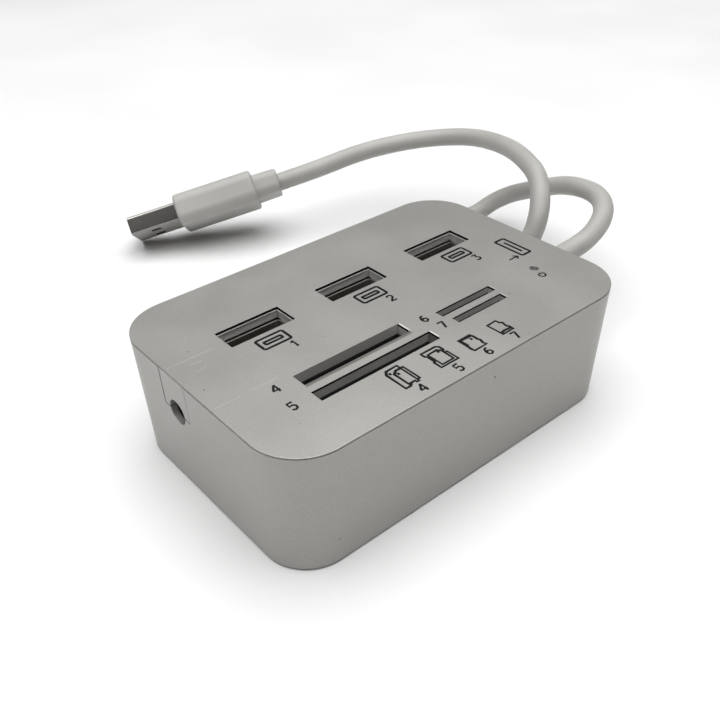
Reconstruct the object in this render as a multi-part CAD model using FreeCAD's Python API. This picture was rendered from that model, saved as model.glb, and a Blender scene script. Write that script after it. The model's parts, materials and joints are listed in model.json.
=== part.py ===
"""Desktop hub with three upright ports, four card slots, a power jack and a short captive cable.

All sizes are in millimetres. The origin is the middle of the base, +Z is up, +X points to the
cable end, -X to the power jack end and -Y to the side with the card slots.
"""
import FreeCAD
import Part

import math
import os

V = FreeCAD.Vector

# Case: a tub with leaning sides, closed by a lid that drops into it
CASE_LENGTH = 78.0
CASE_WIDTH = 51.2
CASE_HEIGHT = 24.2
CORNER_RADIUS = 9.2
SIDE_LEAN = 0.87
WALL = 2.0
FLOOR = 2.0
BASE_BEVEL = 0.5
LID_EDGE = 0.28
LID_BEVEL = 0.08
LID_THICKNESS = 2.25
LID_CLEARANCE = 0.15
SEAM_DEPTH = 0.3
SEAM_RISE = 0.13

# End walls: the lid's tabs close the upper half of the jack hole and of the cable hole, and hang a
# little nearer to the front side of their windows
PORT_BELOW_TOP = 7.65
PORT_HEIGHT = CASE_HEIGHT - PORT_BELOW_TOP
TAB_WIDTH = 7.4
TAB_CLEARANCE = 0.2
TAB_SHIFT = 0.1
JACK_Y = 5.5
JACK_HOLE = 4.6
CABLE_Y = -2.9
CABLE_HOLE_CLEARANCE = 0.1

# Circuit board and the screws that clamp it between the lid's bosses and the tub's sleeves
BOARD_BELOW_TOP = 13.2
BOARD_TOP = CASE_HEIGHT - BOARD_BELOW_TOP
BOARD_THICKNESS = 1.6
BOARD_CLEARANCE = 0.5
BOSS_EDGE = 7.0
BOSS_DIAMETER = 5.4
SLEEVE_DIAMETER = 6.4
SCREW_DIAMETER = 2.2
SCREW_LENGTH = 10.0
SCREW_HEAD_DIAMETER = 4.2
SCREW_HEAD_HEIGHT = 1.5
SCREW_CROSS_DEPTH = 0.8
SCREW_CROSS_WIDTH = 0.6
SCREW_CLEARANCE = 0.2
SCREW_THREAD_CLEARANCE = 0.05
COUNTERBORE_CLEARANCE = 0.3
COUNTERBORE_DEPTH = 6.0
BOSS_HOLE_EXTRA = 1.0
POST_DIAMETER = 4.0
POST_Y = 16.0

# Upright ports of type A: the outer two keep their distance from the ends of the case, and all stand
# a little forward in their openings, so that the rear rim of each shell shows
USB_PORT_1_FROM_JACK_END = 18.1
USB_PORT_2_X = 0.4
USB_PORT_3_FROM_CABLE_END = 16.7
USB_OPENING_Y = 7.95
USB_SET_FORWARD = 0.55
USB_OPENING = (12.95, 5.4)
USB_MOUTH = (12.5, 5.12)
USB_MOUTH_RADIUS = 0.5
USB_SHELL_WALL = 0.3
USB_SHELL_GAP = 0.1
USB_SHELL_LEG = (0.3, 2.0)
USB_SPRING_WINDOW = (2.2, 3.0)
USB_SPRING_WINDOW_X = 3.0
USB_BASE_HEIGHT = 1.2
USB_TONGUE = (11.1, 1.84)
USB_TONGUE_FRONT_GAP = 0.7
USB_TONGUE_RECESS = 0.9
USB_CONTACT_X = (-3.5, -1.0, 1.0, 3.5)
USB_CONTACT = (1.0, 0.25)
USB_CONTACT_RECESS = 0.8
LEG_BELOW_BOARD = 1.4
LEG_HOLE_CLEARANCE = 0.15

# Card slots in the lid: distance of the centre from the jack end, centre y, length, width
STICK_SLOT_SIZES = (25.45, -9.03, 22.3, 2.66)
SD_SLOT_SIZES = (26.4, -14.25, 25.0, 2.75)
MINI_STICK_SLOT_SIZES = (50.5, -10.36, 13.4, 1.82)
MICRO_SLOT_SIZES = (50.7, -13.55, 12.2, 1.7)
STICK_SLOT_RAMP_LENGTH = 1.1
STICK_SLOT_RAMP_DROP = 0.4
SLOT_LEAD_LENGTH = 0.25
SLOT_LEAD_WIDTH = 0.1
SOCKET_WALL = 1.2
SOCKET_FLOOR_TOP = 6.5
SOCKET_FLOOR = 1.5
SOCKET_GAP = 0.1
SOCKET_POCKET = 0.25
SOCKET_FLANGE = (0.8, 1.0)
SOCKET_BOARD_CLEARANCE = 0.15
CONTACT_THICKNESS = 0.2
CONTACT_TOP = 14.5
CONTACT_TAIL = 1.2
STICK_CONTACT_COUNT = 10
STICK_CONTACT_PITCH = 1.9
STICK_CONTACT_WIDTH = 1.0
SD_CONTACT_COUNT = 9
SD_CONTACT_PITCH = 2.5
SD_CONTACT_WIDTH = 1.3
MINI_STICK_CONTACT_COUNT = 11
MINI_STICK_CONTACT_PITCH = 1.1
MINI_STICK_CONTACT_WIDTH = 0.6
MICRO_CONTACT_COUNT = 8
MICRO_CONTACT_PITCH = 1.1
MICRO_CONTACT_WIDTH = 0.7

# Power jack, whose round nose stands in a pocket behind the jack hole
JACK_BODY_LENGTH = 8.4
JACK_BODY_WIDTH = 6.4
JACK_BODY_ABOVE = 3.2
JACK_WALL_GAP = 0.2
JACK_NOSE = 5.8
JACK_POCKET_DEPTH = 0.8
JACK_POCKET_CLEARANCE = 0.2
JACK_BORE = 3.6
JACK_BORE_DEPTH = 7.0
JACK_PIN_DIAMETER = 1.3
JACK_PIN_LENGTH = 5.6
JACK_SPRING = (5.0, 1.2, 0.3)

# Power light
LED_FROM_CABLE_END = 9.7
LED_Y = -10.85
LED_HOLE = 1.75
LED_CLEARANCE = 0.15
LED_RECESS = 0.1
LED_BASE = 2.6
LED_BASE_HEIGHT = 3.0
LED_LID_GAP = 0.1
LED_LEAD = 0.5
LED_LEAD_SPACING = 1.27

# Parts on the board: distance from the jack end, centre y and sizes
HUB_CHIP_SIZES = (29.0, -0.4, 7.0, 7.0, 1.4)
READER_CHIP_SIZES = (48.0, -0.4, 10.2, 5.3, 1.6)
CHIP_STANDOFF = 0.1
CHIP_LEAD = (0.35, 1.0, 0.15)
HUB_CHIP_LEAD_COUNT = 12
READER_CHIP_LEAD_COUNT = 14
CHIP_LEAD_MARGIN = 1.5
CRYSTAL_SIZES = (17.0, -1.2, 10.6, 4.2, 3.6)
CRYSTAL_END_RADIUS = 1.9
CAPACITOR_DIAMETER = 5.0
CAPACITOR_HEIGHT = 6.0
CAPACITOR_BEHIND_PORT = 1.6
CAPACITOR_BASE = (5.6, 0.8)
CHIP_RESISTOR = (2.0, 1.25, 0.6)
CHIP_RESISTOR_COUNT = 6
CHIP_RESISTOR_PITCH = 4.2
CHIP_RESISTOR_FROM_BACK = 5.0

# Cable gland, cable and the wires behind the gland
CABLE_DIAMETER = 4.4
GLAND_NECK = 6.0
GLAND_FLANGE = 8.0
GLAND_FLANGE_THICKNESS = 1.5
GLAND_COLLAR = 7.4
GLAND_END = 5.6
GLAND_COLLAR_LENGTH = 1.2
GLAND_TIP_OUT = 5.0
WIRE_DIAMETER = 1.1
WIRE_SPACING = 1.4
WIRE_BEND = 2.0
WIRE_RUN = 0.8

# Plug of type A at the far end: where the shell leaves the grip, with x counted from the cable end
# of the case, and how the plug lies
PLUG_PLACE = (-31.3, 84.8, 8.1)
PLUG_HEADING = 152.0
PLUG_NOSE_DOWN = 13.0
PLUG_ROLL = 36.0
PLUG_SHELL = (12.0, 4.5)
PLUG_SHELL_RADIUS = 0.6
PLUG_SHELL_WALL = 0.3
PLUG_SHELL_OUT = 12.3
PLUG_SHELL_IN = 6.5
PLUG_WINDOW = (2.5, 2.2)
PLUG_WINDOW_X = 6.6
PLUG_WINDOW_Y = 2.9
PLUG_TONGUE_THICKNESS = 1.9
PLUG_TONGUE_RECESS = 0.5
PLUG_BLOCK_OUT = 1.2
PLUG_CONTACT = (8.6, 1.1, 0.2)
PLUG_CONTACT_RECESS = 1.2
PLUG_CONTACT_Y = (-3.5, -1.0, 1.0, 3.5)
PLUG_GRIP = (15.7, 8.0)
PLUG_GRIP_RADIUS = 2.6
PLUG_GRIP_LENGTH = 20.2
PLUG_GRIP_EDGE = 0.8
PLUG_COLLAR = (10.8, 6.2)
PLUG_COLLAR_RADIUS = 2.2
PLUG_COLLAR_TAPER = 0.4
PLUG_COLLAR_LENGTH = 6.2
PLUG_COLLAR_ROOT = 1.0
PLUG_COLLAR_EDGE = 0.6

# The cable's route from the gland to the plug's collar, with x counted from the cable end of the
# case: out of the end wall, round and down to the table, back towards the case, up and over
CABLE_ROUTE = [
    (GLAND_TIP_OUT, CABLE_Y, PORT_HEIGHT),
    (10.0, CABLE_Y, PORT_HEIGHT),
    (17.0, -4.2, 18.4),
    (25.2, -1.9, 20.6),
    (31.4, 4.4, 21.2),
    (34.1, 14.4, 19.5),
    (36.9, 26.0, 14.5),
    (38.9, 36.7, 7.3),
    (33.3, 45.5, 2.3),
    (21.8, 49.4, 2.3),
    (10.7, 44.0, 2.3),
    (6.5, 32.0, 2.3),
    (6.5, 17.9, 2.4),
    (8.0, 8.8, 8.8),
    (13.3, 6.5, 18.5),
    (19.9, 12.2, 25.7),
    (26.0, 22.6, 26.0),
    (32.9, 34.3, 23.8),
    (36.1, 48.0, 21.4),
    (29.9, 60.4, 18.9),
    (15.4, 66.9, 17.7),
]
CABLE_LAST_RUN = 10.0
ARC_SHARE = 0.45

# Heights and places that follow from the sizes above
JACK_END = -CASE_LENGTH / 2
CABLE_END = CASE_LENGTH / 2
USB_X = (JACK_END + USB_PORT_1_FROM_JACK_END, USB_PORT_2_X, CABLE_END - USB_PORT_3_FROM_CABLE_END)
USB_Y = USB_OPENING_Y - USB_SET_FORWARD
LED_X = CABLE_END - LED_FROM_CABLE_END
GLAND_TIP_X = CABLE_END + GLAND_TIP_OUT
RIM = CASE_HEIGHT - LID_EDGE
LID_UNDERSIDE = CASE_HEIGHT - LID_THICKNESS
BOARD_UNDERSIDE = BOARD_TOP - BOARD_THICKNESS
BOSS_PLACES = [
    (sx * (CASE_LENGTH / 2 - BOSS_EDGE), sy * (CASE_WIDTH / 2 - BOSS_EDGE))
    for sx in (-1, 1)
    for sy in (-1, 1)
]
GLAND_HOLE = GLAND_NECK + 2 * CABLE_HOLE_CLEARANCE
PLUG_PLACEMENT = FreeCAD.Placement(
    V(CABLE_END, 0, 0) + V(*PLUG_PLACE),
    FreeCAD.Rotation(PLUG_HEADING, PLUG_NOSE_DOWN, PLUG_ROLL),
)


def from_jack_end(sizes):
    """The same sizes with the first one, a distance from the jack end, turned into x."""
    return JACK_END + sizes[0], *sizes[1:]


STICK_SLOT = from_jack_end(STICK_SLOT_SIZES)
SD_SLOT = from_jack_end(SD_SLOT_SIZES)
MINI_STICK_SLOT = from_jack_end(MINI_STICK_SLOT_SIZES)
MICRO_SLOT = from_jack_end(MICRO_SLOT_SIZES)
LARGE_CARDS = (STICK_SLOT, SD_SLOT)
SMALL_CARDS = (MINI_STICK_SLOT, MICRO_SLOT)
HUB_CHIP = from_jack_end(HUB_CHIP_SIZES)
READER_CHIP = from_jack_end(READER_CHIP_SIZES)
CRYSTAL = from_jack_end(CRYSTAL_SIZES)


def lean(z):
    """How far a side of the case stands in at height z, against its top edge."""
    return SIDE_LEAN * (CASE_HEIGHT - z) / CASE_HEIGHT


def half_length(z, inset):
    return CASE_LENGTH / 2 - lean(z) - inset


def rounded_rectangle(length, width, radius, z, centre=(0.0, 0.0)):
    """Closed wire of four straight sides and four corner arcs, at height z."""
    edges = []
    corner_x = length / 2 - radius
    corner_y = width / 2 - radius
    corners = [(corner_x, corner_y), (-corner_x, corner_y), (-corner_x, -corner_y), (corner_x, -corner_y)]
    arcs = []
    for i, (x, y) in enumerate(corners):
        middle = V(centre[0] + x, centre[1] + y, z)
        points = []
        for turn in (0.0, 0.5, 1.0):
            angle = math.pi / 2 * (i + turn)
            points.append(middle + V(math.cos(angle), math.sin(angle), 0) * radius)
        arcs.append(points)
    for i, points in enumerate(arcs):
        edges.append(Part.Arc(*points).toShape())
        edges.append(Part.LineSegment(points[2], arcs[(i + 1) % 4][0]).toShape())
    return Part.Wire(edges)


def bar(length, width, radius, z_low, z_high, centre=(0.0, 0.0)):
    """Upright bar with a rounded rectangle as its section."""
    face = Part.Face(rounded_rectangle(length, width, radius, z_low, centre))
    return face.extrude(V(0, 0, z_high - z_low))


def block(x, y, length, width, z_low, z_high):
    """Upright box centred on x and y."""
    return Part.makeBox(length, width, z_high - z_low, V(x - length / 2, y - width / 2, z_low))


def cylinder(diameter, z_low, z_high, x, y):
    return Part.makeCylinder(diameter / 2, z_high - z_low, V(x, y, z_low))


def along_x(diameter, x_low, x_high, y, z):
    return Part.makeCylinder(diameter / 2, x_high - x_low, V(x_low, y, z), V(1, 0, 0))


def case_section(inset, z):
    """The case's outline at height z, moved in by inset."""
    length = 2 * half_length(z, inset)
    width = length - CASE_LENGTH + CASE_WIDTH
    return rounded_rectangle(length, width, CORNER_RADIUS - lean(z) - inset, z)


def case_block(inset, z_low, z_high):
    """Solid with the case's leaning sides, moved in by inset."""
    return Part.makeLoft([case_section(inset, z_low), case_section(inset, z_high)], True, True)


def bevelled_block(z_low, z_high, low, high):
    """The case's outer form between two heights, with its lower and upper edges bevelled.

    Each bevel is given by how far it goes in and how far it rises.
    """
    levels = [
        (low[0], z_low),
        (0.0, z_low + low[1]),
        (0.0, z_high - high[1]),
        (high[0], z_high),
    ]
    sections = [case_section(inset, z) for inset, z in levels]
    layers = [Part.makeLoft(list(pair), True, True) for pair in zip(sections, sections[1:])]
    return layers[0].multiFuse(layers[1:]).removeSplitter()


def group(solids):
    return Part.makeCompound(solids)


def joined(first, *others):
    return first.multiFuse(list(others)).removeSplitter()


def tab_window(x_side, y, clearance):
    """Space that a tab of the lid takes in an end wall, grown by a clearance at its sides and foot."""
    width = TAB_WIDTH + 2 * clearance
    return block(x_side * CABLE_END, y, 4 * (WALL + SIDE_LEAN), width, PORT_HEIGHT - clearance, RIM)


def jack_pocket_floor():
    return -half_length(PORT_HEIGHT, WALL - JACK_POCKET_DEPTH)


def end_holes():
    """The jack hole with the pocket behind it, and the cable hole, in the end walls."""
    deep = 2 * (WALL + SIDE_LEAN)
    jack = along_x(JACK_HOLE, JACK_END - deep / 2, JACK_END + deep, JACK_Y, PORT_HEIGHT)
    pocket_size = JACK_NOSE + 2 * JACK_POCKET_CLEARANCE
    pocket = along_x(pocket_size, jack_pocket_floor(), JACK_END + deep, JACK_Y, PORT_HEIGHT)
    cable = along_x(GLAND_HOLE, CABLE_END - deep, CABLE_END + deep / 2, CABLE_Y, PORT_HEIGHT)
    return [jack, pocket, cable]


def body_tub():
    """Lower case with sleeves for the screws and two posts that carry the board between the ports."""
    outer = bevelled_block(0.0, RIM, (BASE_BEVEL, BASE_BEVEL), (SEAM_DEPTH, SEAM_RISE))
    tub = outer.cut(case_block(WALL, FLOOR, RIM))
    sleeves = [cylinder(SLEEVE_DIAMETER, 0.0, BOARD_UNDERSIDE, x, y) for x, y in BOSS_PLACES]
    between_ports = [(low + high) / 2 for low, high in zip(USB_X, USB_X[1:])]
    posts = [cylinder(POST_DIAMETER, 0.0, BOARD_UNDERSIDE, x, POST_Y) for x in between_ports]
    feet = case_block(BASE_BEVEL + SIDE_LEAN, 0.0, BOARD_UNDERSIDE)
    tub = joined(tub, *[feet.common(piece) for piece in sleeves + posts])
    cuts = [tab_window(-1, JACK_Y, TAB_CLEARANCE), tab_window(1, CABLE_Y, TAB_CLEARANCE)]
    cuts += end_holes()
    for x, y in BOSS_PLACES:
        cuts.append(cylinder(SCREW_HEAD_DIAMETER + 2 * COUNTERBORE_CLEARANCE, 0.0, COUNTERBORE_DEPTH, x, y))
        cuts.append(cylinder(SCREW_DIAMETER + 2 * SCREW_CLEARANCE, 0.0, BOARD_UNDERSIDE, x, y))
    return tub.cut(cuts)


def slot_cut(slot):
    x, y, length, width = slot
    return block(x, y, length, width, LID_UNDERSIDE, CASE_HEIGHT)


def stick_slot_ramp():
    """Shallow lead-in along the front edge of the widest slot."""
    x, y, length, width = STICK_SLOT
    front = y - width / 2
    corners = [
        V(x - length / 2, front, CASE_HEIGHT - STICK_SLOT_RAMP_DROP),
        V(x - length / 2, front, CASE_HEIGHT),
        V(x - length / 2, front - STICK_SLOT_RAMP_LENGTH, CASE_HEIGHT),
    ]
    face = Part.Face(Part.makePolygon(corners + corners[:1]))
    return face.extrude(V(length, 0, 0))


def top_cover():
    """Lid with its openings, the tabs that hang into the end walls and four screw bosses."""
    edge = bevelled_block(RIM, CASE_HEIGHT, (SEAM_DEPTH, SEAM_RISE), (LID_BEVEL, LID_BEVEL))
    plug = case_block(WALL + LID_CLEARANCE, LID_UNDERSIDE, RIM)
    walls = case_block(0.0, PORT_HEIGHT, RIM).cut(case_block(WALL, PORT_HEIGHT, RIM))
    tab_places = ((-1, JACK_Y - TAB_SHIFT), (1, CABLE_Y - TAB_SHIFT))
    tabs = [walls.common(tab_window(side, y, 0.0)) for side, y in tab_places]
    bosses = [cylinder(BOSS_DIAMETER, BOARD_TOP, RIM, x, y) for x, y in BOSS_PLACES]
    lid = joined(edge, plug, *tabs, *bosses)
    cuts = end_holes()
    for x in USB_X:
        cuts.append(block(x, USB_OPENING_Y, *USB_OPENING, LID_UNDERSIDE, CASE_HEIGHT))
    for slot in (STICK_SLOT, SD_SLOT, MINI_STICK_SLOT, MICRO_SLOT):
        cuts.append(slot_cut(slot))
    cuts.append(stick_slot_ramp())
    for slots in (LARGE_CARDS, SMALL_CARDS):
        cuts.append(socket_block(slots, SOCKET_GAP, LID_UNDERSIDE, LID_UNDERSIDE + SOCKET_POCKET))
    cuts.append(cylinder(LED_HOLE, LID_UNDERSIDE, CASE_HEIGHT, LED_X, LED_Y))
    hole_top = COUNTERBORE_DEPTH + SCREW_LENGTH + BOSS_HOLE_EXTRA
    for x, y in BOSS_PLACES:
        cuts.append(cylinder(SCREW_DIAMETER + 2 * SCREW_THREAD_CLEARANCE, BOARD_TOP, hole_top, x, y))
    return lid.cut(cuts)


def case_screws():
    """Four screws, each with its head up in a sleeve of the tub and its point in a boss of the lid."""
    screws = []
    head_low = COUNTERBORE_DEPTH - SCREW_HEAD_HEIGHT
    for x, y in BOSS_PLACES:
        head = cylinder(SCREW_HEAD_DIAMETER, head_low, COUNTERBORE_DEPTH, x, y)
        shank_top = COUNTERBORE_DEPTH + SCREW_LENGTH - SCREW_DIAMETER / 2
        shank = cylinder(SCREW_DIAMETER, COUNTERBORE_DEPTH, shank_top, x, y)
        point = Part.makeCone(SCREW_DIAMETER / 2, 0.0, SCREW_DIAMETER / 2, V(x, y, shank_top))
        cross = [
            block(x, y, length, width, head_low, head_low + SCREW_CROSS_DEPTH)
            for length, width in (
                (SCREW_DIAMETER, SCREW_CROSS_WIDTH),
                (SCREW_CROSS_WIDTH, SCREW_DIAMETER),
            )
        ]
        screws.append(joined(head, shank, point).cut(cross))
    return group(screws)


def cavity_size(slot):
    """Length and width of the space for a card under a slot of the lid."""
    return slot[2] - 2 * SLOT_LEAD_LENGTH, slot[3] - 2 * SLOT_LEAD_WIDTH


def socket_box(slots):
    """Lowest and highest x and y of the body of a socket for two cards."""
    sizes = [(slot[0], slot[1], *cavity_size(slot)) for slot in slots]
    x_low = min(x - length / 2 for x, y, length, width in sizes) - SOCKET_WALL
    x_high = max(x + length / 2 for x, y, length, width in sizes) + SOCKET_WALL
    y_low = min(y - width / 2 for x, y, length, width in sizes) - SOCKET_WALL
    y_high = max(y + width / 2 for x, y, length, width in sizes) + SOCKET_WALL
    return x_low, x_high, y_low, y_high


def socket_block(slots, grow, z_low, z_high):
    x_low, x_high, y_low, y_high = socket_box(slots)
    middle = ((x_low + x_high) / 2, (y_low + y_high) / 2)
    return block(*middle, x_high - x_low + 2 * grow, y_high - y_low + 2 * grow, z_low, z_high)


def card_contacts(slot, count, pitch, width):
    """Row of flat contacts on the front wall of a card space, with tails below the socket."""
    x, y, length, slot_width = slot
    front = y - cavity_size(slot)[1] / 2
    z_low = SOCKET_FLOOR_TOP - SOCKET_FLOOR - CONTACT_TAIL
    strips = []
    for i in range(count):
        strip_x = x + (i - (count - 1) / 2) * pitch
        strips.append(
            block(strip_x, front + CONTACT_THICKNESS / 2, width, CONTACT_THICKNESS, z_low, CONTACT_TOP)
        )
    return group(strips)


def card_socket(slots, contacts):
    """Body for two cards: hangs in the board on a flange and reaches into a pocket of the lid."""
    top = LID_UNDERSIDE + SOCKET_POCKET - SOCKET_GAP
    body = socket_block(slots, 0.0, SOCKET_FLOOR_TOP - SOCKET_FLOOR, top)
    flange = socket_block(slots, SOCKET_FLANGE[0], BOARD_TOP, BOARD_TOP + SOCKET_FLANGE[1])
    body = joined(body, flange)
    cuts = []
    for slot in slots:
        cuts.append(block(slot[0], slot[1], *cavity_size(slot), SOCKET_FLOOR_TOP, top))
    for row in contacts:
        cuts.extend(row.Solids)
    return body.cut(cuts)


def usb_shell_outer():
    return USB_MOUTH[0] + 2 * USB_SHELL_WALL, USB_MOUTH[1] + 2 * USB_SHELL_WALL


def usb_legs(x, clearance):
    """Two solder legs at the short sides of a port's shell."""
    leg_x = USB_MOUTH[0] / 2 + USB_SHELL_WALL / 2
    thick = USB_SHELL_LEG[0] + 2 * clearance
    wide = USB_SHELL_LEG[1] + 2 * clearance
    z_low = BOARD_UNDERSIDE - LEG_BELOW_BOARD
    return [block(x + side * leg_x, USB_Y, thick, wide, z_low, BOARD_TOP) for side in (-1, 1)]


def usb_contact_strips(x, clearance, z_high):
    """Flat contacts on the back of a port's tongue, with tails through the board."""
    y = usb_tongue_y() + USB_TONGUE[1] / 2 - USB_CONTACT[1] / 2
    wide = USB_CONTACT[0] + 2 * clearance
    thick = USB_CONTACT[1] + 2 * clearance
    z_low = BOARD_UNDERSIDE - LEG_BELOW_BOARD
    return [block(x + dx, y, wide, thick, z_low, z_high) for dx in USB_CONTACT_X]


def usb_tongue_y():
    """Middle of a port's tongue, which stands nearer to the front side of the shell."""
    return USB_Y - USB_MOUTH[1] / 2 + USB_TONGUE_FRONT_GAP + USB_TONGUE[1] / 2


def usb_shell(x):
    """Steel tube of a port, open at both ends, with two windows where its springs are pressed out."""
    top = LID_UNDERSIDE - USB_SHELL_GAP
    outer_radius = USB_MOUTH_RADIUS + USB_SHELL_WALL
    shell = bar(*usb_shell_outer(), outer_radius, BOARD_TOP, top, (x, USB_Y))
    shell = joined(shell, *usb_legs(x, 0.0))
    cuts = [bar(*USB_MOUTH, USB_MOUTH_RADIUS, BOARD_TOP, top, (x, USB_Y))]
    middle = (BOARD_TOP + USB_BASE_HEIGHT + top) / 2
    for side in (-1, 1):
        cuts.append(
            block(
                x + side * USB_SPRING_WINDOW_X,
                USB_Y,
                USB_SPRING_WINDOW[0],
                2 * usb_shell_outer()[1],
                middle - USB_SPRING_WINDOW[1] / 2,
                middle + USB_SPRING_WINDOW[1] / 2,
            )
        )
    return shell.cut(cuts)


def usb_contacts(x):
    return group(usb_contact_strips(x, 0.0, usb_tongue_top() - USB_CONTACT_RECESS))


def usb_tongue_top():
    return LID_UNDERSIDE - USB_SHELL_GAP - USB_TONGUE_RECESS


def usb_insulator(x):
    """Block at the foot of a port with the tongue that carries the contacts."""
    base_top = BOARD_TOP + USB_BASE_HEIGHT
    base = bar(*USB_MOUTH, USB_MOUTH_RADIUS, BOARD_TOP, base_top, (x, USB_Y))
    tongue = block(x, usb_tongue_y(), *USB_TONGUE, BOARD_TOP, usb_tongue_top())
    return joined(base, tongue).cut(usb_contacts(x).Solids)


def main_board():
    z = BOARD_UNDERSIDE
    section = case_section(WALL + BOARD_CLEARANCE, z)
    board = Part.Face(section).extrude(V(0, 0, BOARD_THICKNESS))
    cuts = []
    for x, y in BOSS_PLACES:
        cuts.append(cylinder(SCREW_DIAMETER + 2 * SCREW_CLEARANCE, z, BOARD_TOP, x, y))
    for slots in (LARGE_CARDS, SMALL_CARDS):
        cuts.append(socket_block(slots, SOCKET_BOARD_CLEARANCE, z, BOARD_TOP))
    for x in USB_X:
        cuts += usb_legs(x, LEG_HOLE_CLEARANCE)
        cuts += usb_contact_strips(x, LEG_HOLE_CLEARANCE, BOARD_TOP)
    return board.cut(cuts)


def jack_front():
    """Where the jack's body starts behind the leaning end wall."""
    return -half_length(BOARD_TOP, WALL) + JACK_WALL_GAP


def jack_spring():
    """Leaf contact in the floor of the jack's bore."""
    length, width, thick = JACK_SPRING
    low = PORT_HEIGHT - JACK_BORE / 2 - thick
    return block(jack_front() + JACK_BORE_DEPTH - length / 2, JACK_Y, length, width, low, low + thick)


def jack_body():
    """Block on the board with a round nose and the bore for the plug."""
    front = jack_front()
    middle = front + JACK_BODY_LENGTH / 2
    top = PORT_HEIGHT + JACK_BODY_ABOVE
    body = block(middle, JACK_Y, JACK_BODY_LENGTH, JACK_BODY_WIDTH, BOARD_TOP, top)
    nose_tip = jack_pocket_floor() + JACK_WALL_GAP
    nose = along_x(JACK_NOSE, nose_tip, middle, JACK_Y, PORT_HEIGHT)
    bore = along_x(JACK_BORE, nose_tip, front + JACK_BORE_DEPTH, JACK_Y, PORT_HEIGHT)
    return joined(body, nose).cut([bore, jack_spring()])


def jack_pin():
    """Centre pin that stands on the floor of the jack's bore, with a round nose."""
    floor = jack_front() + JACK_BORE_DEPTH
    radius = JACK_PIN_DIAMETER / 2
    nose_x = floor - JACK_PIN_LENGTH + radius
    stem = along_x(JACK_PIN_DIAMETER, nose_x, floor, JACK_Y, PORT_HEIGHT)
    nose = Part.makeSphere(radius, V(nose_x, JACK_Y, PORT_HEIGHT))
    return joined(stem, nose)


def led_base_top():
    return LID_UNDERSIDE - LED_LID_GAP


def power_led():
    """Round lens in the lid's hole on a square base under the lid."""
    top = led_base_top()
    base = block(LED_X, LED_Y, LED_BASE, LED_BASE, top - LED_BASE_HEIGHT, top)
    radius = LED_HOLE / 2 - LED_CLEARANCE
    dome_z = CASE_HEIGHT - LED_RECESS - radius
    stem = cylinder(2 * radius, top, dome_z, LED_X, LED_Y)
    dome = Part.makeSphere(radius, V(LED_X, LED_Y, dome_z))
    return joined(base, stem, dome)


def led_leads():
    top = led_base_top() - LED_BASE_HEIGHT
    leads = []
    for side in (-1, 1):
        x = LED_X + side * LED_LEAD_SPACING / 2
        leads.append(block(x, LED_Y, LED_LEAD, LED_LEAD, BOARD_TOP, top))
    return group(leads)


def chip(size):
    x, y, length, width, height = size
    low = BOARD_TOP + CHIP_STANDOFF
    body = block(x, y, length, width, low, low + height)
    top_edges = [edge for edge in body.Edges if edge.BoundBox.ZMin > low + height / 2]
    return body.makeChamfer(CHIP_LEAD[2], top_edges)


def chip_leads():
    """Feet of the two chips: four sides of the square one, two of the long one."""
    wide, long, thick = CHIP_LEAD
    heights = (BOARD_TOP, BOARD_TOP + CHIP_STANDOFF + thick)
    rows = ((HUB_CHIP, HUB_CHIP_LEAD_COUNT, 4), (READER_CHIP, READER_CHIP_LEAD_COUNT, 2))
    leads = []
    for size, count, sides in rows:
        x, y, length, width, height = size
        pitch_x = (length - CHIP_LEAD_MARGIN) / (count - 1)
        pitch_y = (width - CHIP_LEAD_MARGIN) / (count - 1)
        for i in range(count):
            step = i - (count - 1) / 2
            for side in (-1, 1):
                lead_y = y + side * (width + long) / 2
                leads.append(block(x + step * pitch_x, lead_y, wide, long, *heights))
                if sides == 4:
                    lead_x = x + side * (length + long) / 2
                    leads.append(block(lead_x, y + step * pitch_y, long, wide, *heights))
    return group(leads)


def crystal():
    x, y, length, width, height = CRYSTAL
    return bar(length, width, CRYSTAL_END_RADIUS, BOARD_TOP, BOARD_TOP + height, (x, y))


def capacitors():
    cans = []
    side, thick = CAPACITOR_BASE
    y = USB_Y + usb_shell_outer()[1] / 2 + CAPACITOR_BEHIND_PORT + side / 2
    for x in (USB_X[0], USB_X[2]):
        base = block(x, y, side, side, BOARD_TOP, BOARD_TOP + thick)
        can = cylinder(CAPACITOR_DIAMETER, BOARD_TOP, BOARD_TOP + CAPACITOR_HEIGHT, x, y)
        cans.append(joined(base, can))
    return group(cans)


def chip_resistors():
    length, width, height = CHIP_RESISTOR
    y = CASE_WIDTH / 2 - CHIP_RESISTOR_FROM_BACK
    row = []
    for i in range(CHIP_RESISTOR_COUNT):
        x = USB_PORT_2_X + (i - (CHIP_RESISTOR_COUNT - 1) / 2) * CHIP_RESISTOR_PITCH
        row.append(block(x, y, length, width, BOARD_TOP, BOARD_TOP + height))
    return group(row)


def gland_inner_x():
    """Inner face of the gland's flange, which bears on the inside of the end wall."""
    return half_length(PORT_HEIGHT - GLAND_FLANGE / 2, WALL) - GLAND_FLANGE_THICKNESS


def cable_gland():
    """Moulded gland: flange inside the wall, neck in the hole, collar and taper outside."""
    start = gland_inner_x()
    neck_start = start + GLAND_FLANGE_THICKNESS
    wall_out = half_length(PORT_HEIGHT + GLAND_COLLAR / 2, 0.0)
    collar_end = wall_out + GLAND_COLLAR_LENGTH
    flange = along_x(GLAND_FLANGE, start, neck_start, CABLE_Y, PORT_HEIGHT)
    neck = along_x(GLAND_NECK, neck_start, wall_out, CABLE_Y, PORT_HEIGHT)
    collar = along_x(GLAND_COLLAR, wall_out, collar_end, CABLE_Y, PORT_HEIGHT)
    taper = Part.makeCone(
        GLAND_COLLAR / 2,
        GLAND_END / 2,
        GLAND_TIP_X - collar_end,
        V(collar_end, CABLE_Y, PORT_HEIGHT),
        V(1, 0, 0),
    )
    return joined(flange, neck, collar, taper)


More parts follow.
